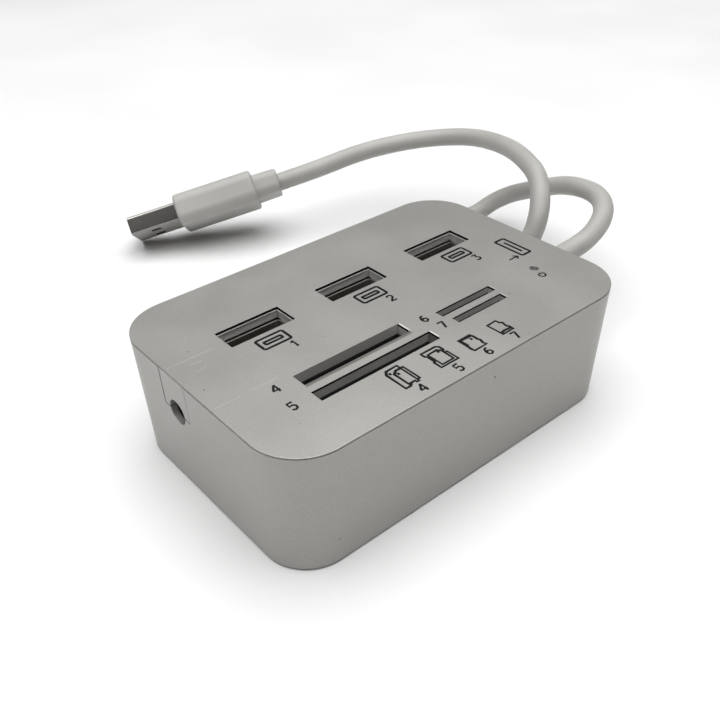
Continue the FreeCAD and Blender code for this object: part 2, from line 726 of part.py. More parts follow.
def cable_wires():
    """Four insulated wires from the gland's flange down to the board."""
    start = gland_inner_x()
    wires = []
    for i in range(4):
        y = CABLE_Y + (i - 1.5) * WIRE_SPACING
        bend_x = start - WIRE_RUN
        bend = V(bend_x - WIRE_BEND, y, PORT_HEIGHT - WIRE_BEND)
        corner = V(bend_x, y, PORT_HEIGHT)
        slope = math.sqrt(0.5) * WIRE_BEND
        middle = V(bend_x - slope, y, PORT_HEIGHT - WIRE_BEND + slope)
        end = V(bend.x, y, BOARD_TOP)
        path = Part.Wire(
            [
                Part.LineSegment(V(start, y, PORT_HEIGHT), corner).toShape(),
                Part.Arc(corner, middle, bend).toShape(),
                Part.LineSegment(bend, end).toShape(),
            ]
        )
        section = Part.Wire(Part.makeCircle(WIRE_DIAMETER / 2, V(start, y, PORT_HEIGHT), V(1, 0, 0)))
        wires.append(path.makePipeShell([section], True, False))
    return group(wires)


def cable_points():
    """The route, with its last run in line with the plug."""
    back = -(PLUG_GRIP_LENGTH + PLUG_COLLAR_LENGTH)
    end = PLUG_PLACEMENT.multVec(V(back, 0, 0))
    before = PLUG_PLACEMENT.multVec(V(back - CABLE_LAST_RUN, 0, 0))
    return [V(CABLE_END, 0, 0) + V(*point) for point in CABLE_ROUTE] + [before, end]


def cable():
    """Tube along straight runs that are joined by arcs as large as the runs allow."""
    points = cable_points()
    edges = []
    radii = []
    last = points[0]
    for before, corner, after in zip(points, points[1:], points[2:]):
        back = before - corner
        on = after - corner
        reach = ARC_SHARE * min(back.Length, on.Length)
        back.normalize()
        on.normalize()
        half_turn = (math.pi - back.getAngle(on)) / 2
        radius = reach / math.tan(half_turn)
        bisector = back + on
        bisector.normalize()
        middle = corner + bisector * (radius / math.cos(half_turn) - radius)
        start = corner + back * reach
        end = corner + on * reach
        edges.append(Part.LineSegment(last, start).toShape())
        edges.append(Part.Arc(start, middle, end).toShape())
        radii.append(radius)
        last = end
    edges.append(Part.LineSegment(last, points[-1]).toShape())
    path = Part.Wire(edges)
    heading = points[1] - points[0]
    section = Part.Wire(Part.makeCircle(CABLE_DIAMETER / 2, points[0], heading))
    tube = path.makePipeShell([section], True, False)
    exact = path.Length * math.pi * CABLE_DIAMETER**2 / 4
    print("cable length", round(path.Length, 1), "volume over section times length", tube.Volume / exact)
    print("cable radii", [round(radius, 1) for radius in radii])
    return tube


def plug_bar(size, radius, x_low, x_high):
    """Bar along the plug's own X axis, before the plug is laid down."""
    upright = bar(size[1], size[0], radius, x_low, x_high)
    upright.rotate(V(0, 0, 0), V(0, 1, 0), 90)
    return upright


def plug_box(x_low, x_high, y, width, z_low, z_high):
    return Part.makeBox(x_high - x_low, width, z_high - z_low, V(x_low, y - width / 2, z_low))


def laid(shape):
    """The shape as the plug lies on the table."""
    shape = shape.copy()
    shape.Placement = PLUG_PLACEMENT.multiply(shape.Placement)
    return shape


def plug_inner():
    return PLUG_SHELL[0] - 2 * PLUG_SHELL_WALL, PLUG_SHELL[1] - 2 * PLUG_SHELL_WALL


def plug_shell():
    outer = plug_bar(PLUG_SHELL, PLUG_SHELL_RADIUS, -PLUG_SHELL_IN, PLUG_SHELL_OUT)
    inner = plug_bar(plug_inner(), PLUG_SHELL_RADIUS - PLUG_SHELL_WALL, -PLUG_SHELL_IN, PLUG_SHELL_OUT)
    cuts = [inner]
    for side in (-1, 1):
        cuts.append(
            plug_box(
                PLUG_WINDOW_X - PLUG_WINDOW[0] / 2,
                PLUG_WINDOW_X + PLUG_WINDOW[0] / 2,
                side * PLUG_WINDOW_Y,
                PLUG_WINDOW[1],
                -PLUG_SHELL[1],
                PLUG_SHELL[1],
            )
        )
    return laid(outer.cut(cuts))


def plug_contact_strips():
    width, height = plug_inner()
    face = -height / 2 + PLUG_TONGUE_THICKNESS
    length, wide, thick = PLUG_CONTACT
    high = PLUG_SHELL_OUT - PLUG_CONTACT_RECESS
    return [plug_box(high - length, high, y, wide, face - thick, face) for y in PLUG_CONTACT_Y]


def plug_insulator():
    """Block at the root of the shell with the tongue that carries the contacts."""
    width, height = plug_inner()
    radius = PLUG_SHELL_RADIUS - PLUG_SHELL_WALL
    root = plug_bar((width, height), radius, -PLUG_SHELL_IN, PLUG_BLOCK_OUT)
    tip = PLUG_SHELL_OUT - PLUG_TONGUE_RECESS
    whole = plug_bar((width, height), radius, -PLUG_SHELL_IN, tip)
    half = plug_box(-PLUG_SHELL_IN, tip, 0.0, width, -height / 2, -height / 2 + PLUG_TONGUE_THICKNESS)
    return laid(joined(root, whole.common(half)).cut(plug_contact_strips()))


def plug_contacts():
    return group([laid(strip) for strip in plug_contact_strips()])


def plug_grip():
    """Moulded grip with round edges, a stepped collar and a pocket for the root of the shell."""
    grip = plug_bar(PLUG_GRIP, PLUG_GRIP_RADIUS, -PLUG_GRIP_LENGTH, 0.0)
    ends = [edge for face in grip.Faces if abs(face.normalAt(0, 0).x) > 0.99 for edge in face.Edges]
    grip = grip.makeFillet(PLUG_GRIP_EDGE, ends)
    back = -PLUG_GRIP_LENGTH - PLUG_COLLAR_LENGTH
    sections = []
    for x, shrink in ((back, PLUG_COLLAR_TAPER), (PLUG_COLLAR_ROOT - PLUG_GRIP_LENGTH, 0.0)):
        section = rounded_rectangle(
            PLUG_COLLAR[1] - shrink, PLUG_COLLAR[0] - shrink, PLUG_COLLAR_RADIUS - shrink / 2, x
        )
        section.rotate(V(0, 0, 0), V(0, 1, 0), 90)
        sections.append(section)
    collar = Part.makeLoft(sections, True, True)
    rim = [edge for edge in collar.Edges if edge.BoundBox.XMax < back + PLUG_COLLAR_EDGE]
    collar = collar.makeFillet(PLUG_COLLAR_EDGE, rim)
    pocket = plug_bar(PLUG_SHELL, PLUG_SHELL_RADIUS, -PLUG_SHELL_IN, 0.0)
    return laid(joined(grip, collar).cut(pocket))


def all_parts():
    """Every piece by its name."""
    stick_contacts = card_contacts(
        STICK_SLOT, STICK_CONTACT_COUNT, STICK_CONTACT_PITCH, STICK_CONTACT_WIDTH
    )
    sd_contacts = card_contacts(SD_SLOT, SD_CONTACT_COUNT, SD_CONTACT_PITCH, SD_CONTACT_WIDTH)
    mini_stick_contacts = card_contacts(
        MINI_STICK_SLOT, MINI_STICK_CONTACT_COUNT, MINI_STICK_CONTACT_PITCH, MINI_STICK_CONTACT_WIDTH
    )
    micro_contacts = card_contacts(
        MICRO_SLOT, MICRO_CONTACT_COUNT, MICRO_CONTACT_PITCH, MICRO_CONTACT_WIDTH
    )
    parts = {
        "body_tub": body_tub(),
        "top_cover": top_cover(),
        "case_screws": case_screws(),
        "main_board": main_board(),
        "large_card_socket": card_socket(LARGE_CARDS, (stick_contacts, sd_contacts)),
        "stick_card_contacts": stick_contacts,
        "sd_card_contacts": sd_contacts,
        "small_card_socket": card_socket(SMALL_CARDS, (mini_stick_contacts, micro_contacts)),
        "mini_stick_contacts": mini_stick_contacts,
        "micro_card_contacts": micro_contacts,
        "jack_body": jack_body(),
        "jack_pin": jack_pin(),
        "jack_spring": jack_spring(),
        "power_led": power_led(),
        "led_leads": led_leads(),
        "hub_chip": chip(HUB_CHIP),
        "reader_chip": chip(READER_CHIP),
        "chip_leads": chip_leads(),
        "crystal": crystal(),
        "capacitors": capacitors(),
        "chip_resistors": chip_resistors(),
        "cable_gland": cable_gland(),
        "cable": cable(),
        "cable_wires": cable_wires(),
        "plug_shell": plug_shell(),
        "plug_insulator": plug_insulator(),
        "plug_contacts": plug_contacts(),
        "plug_grip": plug_grip(),
    }
    for number, x in enumerate(USB_X, start=1):
        parts[f"usb_port_{number}_shell"] = usb_shell(x)
        parts[f"usb_port_{number}_insulator"] = usb_insulator(x)
        parts[f"usb_port_{number}_contacts"] = usb_contacts(x)
    return parts


os.makedirs("parts", exist_ok=True)
for name, shape in all_parts().items():
    shape.exportStep(f"parts/{name}.step")
    print(name, len(shape.Solids), "valid" if shape.isValid() else "INVALID", round(shape.Volume, 1))
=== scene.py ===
"""Looks of the hub: camera, cable, surfaces, printed marks, light."""

import json
import math

import bpy
from mathutils import Matrix, Vector


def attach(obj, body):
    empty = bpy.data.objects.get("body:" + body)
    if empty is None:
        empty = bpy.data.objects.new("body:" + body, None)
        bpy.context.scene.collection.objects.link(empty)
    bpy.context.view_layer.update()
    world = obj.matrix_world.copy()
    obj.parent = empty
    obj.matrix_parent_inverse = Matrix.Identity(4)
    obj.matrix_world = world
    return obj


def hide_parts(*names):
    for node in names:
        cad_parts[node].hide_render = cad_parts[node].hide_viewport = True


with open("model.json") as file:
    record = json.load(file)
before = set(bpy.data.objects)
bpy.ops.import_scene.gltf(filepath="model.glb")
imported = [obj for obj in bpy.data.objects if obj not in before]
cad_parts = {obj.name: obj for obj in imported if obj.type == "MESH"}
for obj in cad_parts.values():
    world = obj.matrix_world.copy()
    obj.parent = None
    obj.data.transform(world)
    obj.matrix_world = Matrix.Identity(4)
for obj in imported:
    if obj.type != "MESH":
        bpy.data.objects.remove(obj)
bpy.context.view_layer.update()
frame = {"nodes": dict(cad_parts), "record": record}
nodes = frame["nodes"]
mounts = {mount["name"]: mount for mount in frame["record"]["mounts"]}
scene = bpy.context.scene

# Places on the lid, in millimetres: its face, the ports' middles, half the length of an opening, its back
MM = 0.001
TOP = mounts["usb_port_1"]["pos_m"][2] / MM
PORT_MIDDLES = [mounts[f"usb_port_{number}"]["pos_m"][0] / MM for number in (1, 2, 3)]
PORT_HALF = 6.475
PORT_BACK = 10.65

# Length and width of each card slot
SLOT_SIZES = {
    "stick_slot": (22.3, 2.66),
    "sd_slot": (25.0, 2.75),
    "mini_stick_slot": (13.4, 1.82),
    "micro_slot": (12.2, 1.7),
}

# The camera stands at the photo's place and looks as the photo does
EYE = Vector((-0.08494, -0.09664, 0.10354))
RIGHT = Vector((0.7599, -0.6498, -0.0187))
DOWN = Vector((-0.3900, -0.4326, -0.8128))
LOOK = Vector((0.5201, 0.6250, -0.5822))
LENS = 42.62
SENSOR = 36.0
NEAREST = 0.01


def make_camera():
    data = bpy.data.cameras.new("camera")
    data.sensor_width = SENSOR
    data.lens = LENS
    data.clip_start = NEAREST
    camera = bpy.data.objects.new("camera", data)
    turn = Matrix((RIGHT, -DOWN, -LOOK)).transposed()
    camera.matrix_world = Matrix.Translation(EYE) @ turn.to_4x4()
    scene.collection.objects.link(camera)
    scene.camera = camera


make_camera()

# The cable's route from the gland to the plug's collar, in metres
CABLE_DIAMETER = 0.0044
CABLE_ROUTE = [
    (0.0440, -0.0029, 0.01655),
    (0.0490, -0.0029, 0.01655),
    (0.0560, -0.0042, 0.0184),
    (0.0642, -0.0019, 0.0206),
    (0.0704, 0.0044, 0.0212),
    (0.0731, 0.0144, 0.0195),
    (0.0769, 0.0258, 0.0138),
    (0.0757, 0.0374, 0.0079),
    (0.0688, 0.0414, 0.0023),
    (0.0603, 0.0472, 0.0023),
    (0.0495, 0.0440, 0.0023),
    (0.0455, 0.0320, 0.0023),
    (0.0455, 0.0179, 0.0024),
    (0.0470, 0.0088, 0.0088),
    (0.0523, 0.0065, 0.0185),
    (0.0589, 0.0122, 0.0257),
    (0.0650, 0.0226, 0.0260),
    (0.0719, 0.0343, 0.0238),
    (0.0751, 0.0480, 0.0214),
    (0.0689, 0.0604, 0.0189),
    (0.0544, 0.0669, 0.0177),
    (0.0390, 0.0681, 0.0163),
    (0.0304, 0.0727, 0.0140),
]


def make_cable():
    data = bpy.data.curves.new("cable_run", "CURVE")
    data.dimensions = "3D"
    data.resolution_u = 12
    data.bevel_depth = 1.0
    data.bevel_resolution = 6
    data.use_fill_caps = True
    spline = data.splines.new("NURBS")
    spline.points.add(len(CABLE_ROUTE) - 1)
    for point, place in zip(spline.points, CABLE_ROUTE):
        point.co = (*place, 1.0)
        point.radius = CABLE_DIAMETER / 2
    spline.order_u = 3
    spline.use_endpoint_u = True
    cable = bpy.data.objects.new("cable_run", data)
    scene.collection.objects.link(cable)
    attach(cable, "root")
    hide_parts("cable")
    return cable


cable = make_cable()

# What counts as the inside of the lid's outline, and as an upright or a square face, by the normal's share
INSIDE_X = 34.0
INSIDE_Y = 22.0
UPRIGHT = 0.3
SQUARE_FROM = 0.9
SQUARE_FULL = 0.985

# How far below the lid's face the painted shade on the lead-in of the stick slot begins and ends, each as a
# soft step
LEAD_IN_TOP = (0.12, 0.02)
LEAD_IN_FOOT = (0.6, 0.5)


class Surface:
    """A procedural material: colours mixed by noise, uneven gloss and a fine grain."""

    def __init__(self, name, metallic=0.0):
        self.material = bpy.data.materials.new(name)
        self.material.use_nodes = True
        self.tree = self.material.node_tree
        self.shader = self.tree.nodes["Principled BSDF"]
        self.shader.inputs["Metallic"].default_value = metallic
        self.place = self.add("ShaderNodeTexCoord").outputs["Object"]

    def add(self, kind, **settings):
        node = self.tree.nodes.new(kind)
        for key, value in settings.items():
            setattr(node, key, value)
        return node

    def link(self, output, target):
        self.tree.links.new(output, target)

    def stretched(self, scale):
        """The place on the surface, stretched by scale along each axis."""
        mapping = self.add("ShaderNodeMapping")
        mapping.inputs["Scale"].default_value = scale
        self.link(self.place, mapping.inputs["Vector"])
        return mapping.outputs["Vector"]

    def noise(self, size_mm, detail=3.0, place=None):
        """Noise with spots of about size_mm."""
        node = self.add("ShaderNodeTexNoise")
        node.inputs["Scale"].default_value = 1.0 / (size_mm * MM)
        node.inputs["Detail"].default_value = detail
        self.link(place or self.place, node.inputs["Vector"])
        return node.outputs["Fac"]

    def spread(self, value, low, high, start=0.3, end=0.7):
        """Low where the value is at start, high where it is at end."""
        node = self.add("ShaderNodeMapRange")
        node.inputs["From Min"].default_value = start
        node.inputs["From Max"].default_value = end
        node.inputs["To Min"].default_value = low
        node.inputs["To Max"].default_value = high
        self.link(value, node.inputs["Value"])
        return node.outputs["Result"]

    def two_tone(self, value, dark, light, start=0.3, end=0.7):
        """Dark colour where the value is at start, light colour where it is at end."""
        node = self.add("ShaderNodeValToRGB")
        for element, place, colour in zip(node.color_ramp.elements, (start, end), (dark, light)):
            element.position = place
            element.color = (*colour, 1.0)
        self.link(value, node.inputs["Fac"])
        return node.outputs["Color"]

    def blend(self, share, first, second):
        """First colour where share is 0, second where it is 1."""
        node = self.add("ShaderNodeMix", data_type="RGBA")
        self.link(share, node.inputs[0])
        self.link(first, node.inputs[6])
        self.link(second, node.inputs[7])
        return node.outputs[2]

    def parts(self, vector):
        """The x, y and z of a vector."""
        node = self.add("ShaderNodeSeparateXYZ")
        self.link(vector, node.inputs["Vector"])
        return node.outputs["X"], node.outputs["Y"], node.outputs["Z"]

    def near_zero(self, value, reach):
        """1 where the value lies within reach of 0, else 0."""
        node = self.add("ShaderNodeMath", operation="COMPARE")
        node.inputs[1].default_value = 0.0
        node.inputs[2].default_value = reach
        self.link(value, node.inputs[0])
        return node.outputs["Value"]

    def product(self, first, second):
        node = self.add("ShaderNodeMath", operation="MULTIPLY")
        self.link(first, node.inputs[0])
        self.link(second, node.inputs[1])
        return node.outputs["Value"]

    def normal(self):
        return self.add("ShaderNodeNewGeometry").outputs["Normal"]

    def along(self, vector, axis):
        """How far the vector reaches along the axis."""
        reach = self.add("ShaderNodeVectorMath", operation="DOT_PRODUCT")
        reach.inputs[1].default_value = axis
        self.link(vector, reach.inputs[0])
        return reach.outputs["Value"]

    def facing(self, axis):
        """1 on flat faces square to the axis, 0 on all that lean away from it."""
        size = self.add("ShaderNodeMath", operation="ABSOLUTE")
        self.link(self.along(self.normal(), axis), size.inputs[0])
        return self.spread(size.outputs["Value"], 0.0, 1.0, SQUARE_FROM, SQUARE_FULL)

    def inside_outline(self):
        """1 well inside the case's outline, else 0."""
        x, y = self.parts(self.place)[:2]
        return self.product(self.near_zero(x, INSIDE_X * MM), self.near_zero(y, INSIDE_Y * MM))

    def opening_walls(self):
        """1 on upright walls well inside the case's outline, else 0: where the paint is painted paler, as
        painted light.
        """
        upright = self.near_zero(self.parts(self.normal())[2], UPRIGHT)
        return self.product(upright, self.inside_outline())

    def lead_in(self):
        """1 just under the lid's face, where only the lead-in of the stick slot leans, else 0: where the paint
        is darkened as painted shade.
        """
        z = self.parts(self.place)[2]
        top_start, top_end = ((TOP - depth) * MM for depth in LEAD_IN_TOP)
        foot_start, foot_end = ((TOP - depth) * MM for depth in LEAD_IN_FOOT)
        below = self.spread(z, 1.0, 0.0, top_start, top_end)
        above = self.spread(z, 0.0, 1.0, foot_start, foot_end)
        return self.product(self.product(below, above), self.inside_outline())

    def colour(self, output):
        self.link(output, self.shader.inputs["Base Color"])

    def gloss(self, value, low, high):
        """Roughness from low to high by the value."""
        self.link(self.spread(value, low, high), self.shader.inputs["Roughness"])

    def bump(self, value, height_mm, strength=1.0, round_edges_mm=0.0):
        """Relief by the value, on edges that look round where that is asked for."""
        node = self.add("ShaderNodeBump")
        node.inputs["Strength"].default_value = strength
        node.inputs["Distance"].default_value = height_mm * MM
        self.link(value, node.inputs["Height"])
        if round_edges_mm:
            edge = self.add("ShaderNodeBevel", samples=6)
            edge.inputs["Radius"].default_value = round_edges_mm * MM
            self.link(edge.outputs["Normal"], node.inputs["Normal"])
        self.link(node.outputs["Normal"], self.shader.inputs["Normal"])


def case_paint():
    """Silver-grey satin paint with fine flakes; painted paler on the walls of the lid's openings as painted
    light, and painted darker on the lead-in as painted shade.
    """
    paint = Surface("case_paint", metallic=0.45)
    flakes = paint.noise(size_mm=0.25, detail=2.0)
    cloud = paint.noise(size_mm=14.0)

    def flaky(dark, light):
        return paint.two_tone(flakes, dark, light, start=0.35, end=0.65)

    base = flaky(dark=(0.318, 0.310, 0.293), light=(0.352, 0.344, 0.326))
    worn = flaky(dark=(0.332, 0.324, 0.307), light=(0.366, 0.358, 0.340))
    # Painted shade: a darker copy of the paint for the lead-in, which faces away from the light
    painted_shade = flaky(dark=(0.215, 0.203, 0.186), light=(0.250, 0.237, 0.219))
    # Painted light: a paler copy of the paint for the walls of the openings, standing in for light that
    # reaches into them
    painted_light = flaky(dark=(0.56, 0.55, 0.525), light=(0.60, 0.59, 0.565))
    outside = paint.blend(paint.spread(cloud, 0.0, 1.0), base, worn)
    outside = paint.blend(paint.lead_in(), outside, painted_shade)
    paint.colour(paint.blend(paint.opening_walls(), outside, painted_light))
    paint.gloss(cloud, low=0.36, high=0.44)
    paint.bump(flakes, height_mm=0.006, strength=0.5, round_edges_mm=0.12)
    return paint.material


def soft_plastic(name, dark, light, depth, glow):
    """Pale grey soft moulding. A share of the light, glow, spreads in it to a depth in metres."""
    plastic = Surface(name)
    grain = plastic.noise(size_mm=0.5)
    cloud = plastic.noise(size_mm=9.0)
    plastic.colour(plastic.two_tone(cloud, dark, light))
    plastic.gloss(cloud, low=0.46, high=0.56)
    plastic.bump(grain, height_mm=0.01, strength=0.4, round_edges_mm=0.2)
    plastic.shader.inputs["Subsurface Weight"].default_value = glow
    plastic.shader.inputs["Subsurface Radius"].default_value = (1.0, 0.9, 0.75)
    plastic.shader.inputs["Subsurface Scale"].default_value = depth
    return plastic.material


def metal(name, dark, light, low, high):
    """Drawn sheet metal with fine streaks and a roughness from low to high."""
    sheet = Surface(name, metallic=1.0)
    streaks = sheet.noise(size_mm=1.0, detail=4.0, place=sheet.stretched((6.0, 6.0, 0.6)))
    sheet.colour(sheet.two_tone(streaks, dark, light))
    sheet.gloss(streaks, low, high)
    sheet.bump(streaks, height_mm=0.004, strength=0.4)
    return sheet.material


# The end of the plug, the way that it points, the way that its narrow sides face, and how far the painted
# shade on them reaches
PLUG_END = Vector(mounts["cable_plug"]["pos_m"])
PLUG_AXIS = Vector(mounts["cable_plug"]["axis"])
PLUG_SIDE = (-0.4965, -0.6522, 0.5727)
SHADE_LENGTH = 0.0117


def plug_steel():
    """Steel of the plug: its wide faces are dull, its narrow sides smooth. The narrow sides carry painted
    shade that darkens towards the grip and a paler painted reflection towards the end.
    """
    sheet = Surface("plug_steel")
    grain = sheet.noise(size_mm=0.6)
    narrow = sheet.facing(PLUG_SIDE)
    dull = sheet.two_tone(grain, dark=(0.28, 0.272, 0.258), light=(0.32, 0.311, 0.295))
    # The two colours of the narrow sides: the pale one is a painted reflection near the plug's end, the next
    # one painted shade near the grip
    pale = sheet.two_tone(grain, dark=(0.42, 0.405, 0.38), light=(0.46, 0.445, 0.42))
    painted_shade_narrow = sheet.two_tone(grain, dark=(0.16, 0.154, 0.145), light=(0.19, 0.183, 0.172))
    reach = PLUG_END.dot(PLUG_AXIS)
    # Share of the painted reflection along the plug, rising towards its end
    end = sheet.spread(sheet.along(sheet.place, PLUG_AXIS), 0.0, 1.0, reach - SHADE_LENGTH, reach)
    sheet.colour(sheet.blend(narrow, dull, sheet.blend(end, painted_shade_narrow, pale)))
    sheet.link(narrow, sheet.shader.inputs["Metallic"])
    sheet.link(sheet.spread(narrow, 0.5, 0.18, start=0.0, end=1.0), sheet.shader.inputs["Roughness"])
    sheet.bump(grain, height_mm=0.002, strength=0.15)
    sheet.shader.inputs["Specular IOR Level"].default_value = 0.2
    return sheet.material


def moulding(name, dark, light, low, high):
    """Hard moulded plastic with a fine grain and a roughness from low to high."""
    plastic = Surface(name)
    grain = plastic.noise(size_mm=0.4)
    plastic.colour(plastic.two_tone(grain, dark, light))
    plastic.gloss(grain, low, high)
    plastic.bump(grain, height_mm=0.008, strength=0.5)
    return plastic.material


def lens():
    """Dull lens of the light, unlit."""
    clear = Surface("led_lens")
    cloud = clear.noise(size_mm=0.6, detail=2.0)
    clear.colour(clear.two_tone(cloud, dark=(0.045, 0.044, 0.042), light=(0.075, 0.073, 0.070)))
    clear.gloss(cloud, low=0.45, high=0.55)
    return clear.material


def painted_highlight():
    """Pale surface for painted highlights along edges."""
    painted_light = Surface("painted_highlight", metallic=0.2)
    grain = painted_light.noise(size_mm=0.4, detail=2.0)
    painted_light.colour(painted_light.two_tone(grain, dark=(0.66, 0.655, 0.64), light=(0.78, 0.775, 0.76)))
    painted_light.gloss(grain, low=0.3, high=0.4)
    return painted_light.material


def ink_and_shade():
    """Dark print, a little uneven. The same dark also makes the films in the openings, some of them painted
    shade.
    """
    black = Surface("print_ink_and_shade")
    grain = black.noise(size_mm=0.3)
    black.colour(black.two_tone(grain, dark=(0.004, 0.004, 0.004), light=(0.012, 0.012, 0.012)))
    black.gloss(grain, low=0.5, high=0.65)
    black.bump(grain, height_mm=0.003, strength=0.4)
    black.shader.inputs["Specular IOR Level"].default_value = 0.1
    return black.material


def scratch():
    """Paint that a scratch has brightened."""
    bright = Surface("scratch", metallic=0.5)
    grain = bright.noise(size_mm=0.4, detail=2.0)
    bright.colour(bright.two_tone(grain, dark=(0.50, 0.49, 0.465), light=(0.60, 0.59, 0.56)))
    bright.gloss(grain, low=0.3, high=0.4)
    return bright.material


def dirt():
    """Dark matt dirt, as in the specks."""
    matt = Surface("speck")
    grain = matt.noise(size_mm=0.2, detail=2.0)
    matt.colour(matt.two_tone(grain, dark=(0.06, 0.057, 0.053), light=(0.11, 0.105, 0.097)))
    matt.gloss(grain, low=0.6, high=0.8)
    return matt.material


# A surface for each slot of the record, and for the pieces that have one of their own
LOOKS = {
    "case_paint": case_paint(),
    "steel": metal("steel", (0.36, 0.35, 0.33), (0.43, 0.42, 0.40), 0.22, 0.32),
    "contact_gold": metal("contact_gold", (0.60, 0.42, 0.14), (0.76, 0.56, 0.22), 0.2, 0.32),
    "can_aluminium": metal("can_aluminium", (0.55, 0.55, 0.55), (0.68, 0.68, 0.68), 0.25, 0.4),
    "board": moulding("board", (0.012, 0.075, 0.026), (0.020, 0.110, 0.040), 0.3, 0.42),
    "socket_plastic": moulding("socket_plastic", (0.010, 0.010, 0.010), (0.018, 0.018, 0.017), 0.4, 0.55),
    "chip_plastic": moulding("chip_plastic", (0.012, 0.012, 0.012), (0.022, 0.022, 0.022), 0.5, 0.65),
    "wire_plastic": moulding("wire_plastic", (0.24, 0.02, 0.016), (0.34, 0.03, 0.024), 0.4, 0.5),
    "led_lens": lens(),
    "cable_plastic": soft_plastic(
        "cable_plastic", (0.338, 0.331, 0.315), (0.374, 0.367, 0.349), depth=0.0006, glow=0.15,
    ),
}
CORD_PLASTIC = soft_plastic(
    "cord_plastic", (0.345, 0.338, 0.322), (0.380, 0.373, 0.356), depth=0.002, glow=0.6,
)
# Paler than the other steel: painted light for the lit rims of the port shells; its roughness is its own
PORT_STEEL = metal("port_steel", (0.48, 0.465, 0.44), (0.56, 0.545, 0.52), 0.37, 0.44)
NODE_LOOKS = {
    "plug_shell": plug_steel(),
    "usb_port_1_shell": PORT_STEEL,
    "usb_port_2_shell": PORT_STEEL,
    "usb_port_3_shell": PORT_STEEL,
}
# Pale surface for the painted highlights on the rims of the openings
PAINTED_HIGHLIGHT = painted_highlight()
INK_AND_SHADE = ink_and_shade()
SCRATCH = scratch()
DIRT = dirt()
# Painted shade for the wall at the right end of the SD slot
SLOT_SHADE = moulding("slot_shade", (0.13, 0.122, 0.112), (0.17, 0.16, 0.147), 0.6, 0.8)


def dress_nodes():
    """Gives each solid its own surface, or else that of its slot."""
    for part in frame["record"]["subparts"]:
        name = part["node"]
        mesh = nodes[name].data
        mesh.materials.clear()
        mesh.materials.append(NODE_LOOKS.get(name, LOOKS[part["material_slot"]]))
    cable.data.materials.append(CORD_PLASTIC)


dress_nodes()

# Print on the lid: its height, the widths of its lines, a dot's reach, the digits' scale, corner steps
INK_RISE = 0.012
LINE = 0.55
DOT = 0.62
DOT_REACH = 0.24
POWER_LINE = 0.36
NUMBER_LINE = 0.44
NUMBER_SIZE = 1.15
CORNER_STEPS = 4


def flat_lines(name, lines, width, material, rise=INK_RISE):
    """Thin raised lines on the lid. Each line is its points in millimetres and whether it closes."""
    data = bpy.data.curves.new(name, "CURVE")
    data.dimensions = "3D"
    data.bevel_depth = width / 2 * MM
    data.bevel_resolution = 2
    data.use_fill_caps = True
    for points, closed in lines:
        spline = data.splines.new("POLY")
        spline.points.add(len(points) - 1)
        for point, (x, y) in zip(spline.points, points):
            point.co = (x * MM, y * MM, 0.0, 1.0)
        spline.use_cyclic_u = closed
    data.materials.append(material)
    marks = bpy.data.objects.new(name, data)
    marks.location = (0.0, 0.0, TOP * MM)
    marks.scale = (1.0, 1.0, 2 * rise / width)
    scene.collection.objects.link(marks)
    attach(marks, "root")


def thin_boxes(name, boxes, material):
    """Flat pieces, each between two corners in millimetres."""
    points = []
    faces = []
    for low, high in boxes:
        first = len(points)
        for z in (low[2], high[2]):
            points += [(low[0], low[1], z), (high[0], low[1], z), (high[0], high[1], z), (low[0], high[1], z)]
        for sides in ((3, 2, 1, 0), (4, 5, 6, 7), (0, 1, 5, 4), (1, 2, 6, 5), (2, 3, 7, 6), (3, 0, 4, 7)):
            faces.append([first + corner for corner in sides])
    data = bpy.data.meshes.new(name)
    data.from_pydata([Vector(point) * MM for point in points], [], faces)
    data.materials.append(material)
    pieces = bpy.data.objects.new(name, data)
    scene.collection.objects.link(pieces)
    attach(pieces, "root")


def rounded_outline(x, y, length, width, radius):
    """Points round a rectangle with round corners."""
    points = []
    corners = [(1, 1, 0), (-1, 1, 90), (-1, -1, 180), (1, -1, 270)]
    for sx, sy, start in corners:
        for step in range(CORNER_STEPS + 1):
            angle = math.radians(start + step * 90 / CORNER_STEPS)
            px = x + sx * (length / 2 - radius) + radius * math.cos(angle)
            py = y + sy * (width / 2 - radius) + radius * math.sin(angle)
            points.append((px, py))
    return points


def dot(x, y):
    """A line so short that it prints as a dot."""
    return ([(x - DOT_REACH, y), (x + DOT_REACH, y)], False)


# The marks in front of the ports, and the upright one at the cable's end with the stroke in it
MARK_MIDDLES = (-21.0, 0.4, 22.35)
MARK_Y = 2.53
END_MARK = (32.66, -2.58)
END_STROKE = [(32.7, -0.3), (32.7, -4.95)]


def port_marks():
    """Plain outline of a port, with its tongue, in front of each port and at the cable's end."""
    lines = []
    for x in MARK_MIDDLES:
        lines.append((rounded_outline(x, MARK_Y, length=5.45, width=3.0, radius=0.4), True))
        lines.append((rounded_outline(x, MARK_Y, length=3.4, width=0.8, radius=0.15), True))
    lines.append((rounded_outline(*END_MARK, length=2.38, width=7.05, radius=0.3), True))
    lines.append((END_STROKE, False))
    flat_lines("port_marks", lines, LINE, INK_AND_SHADE)


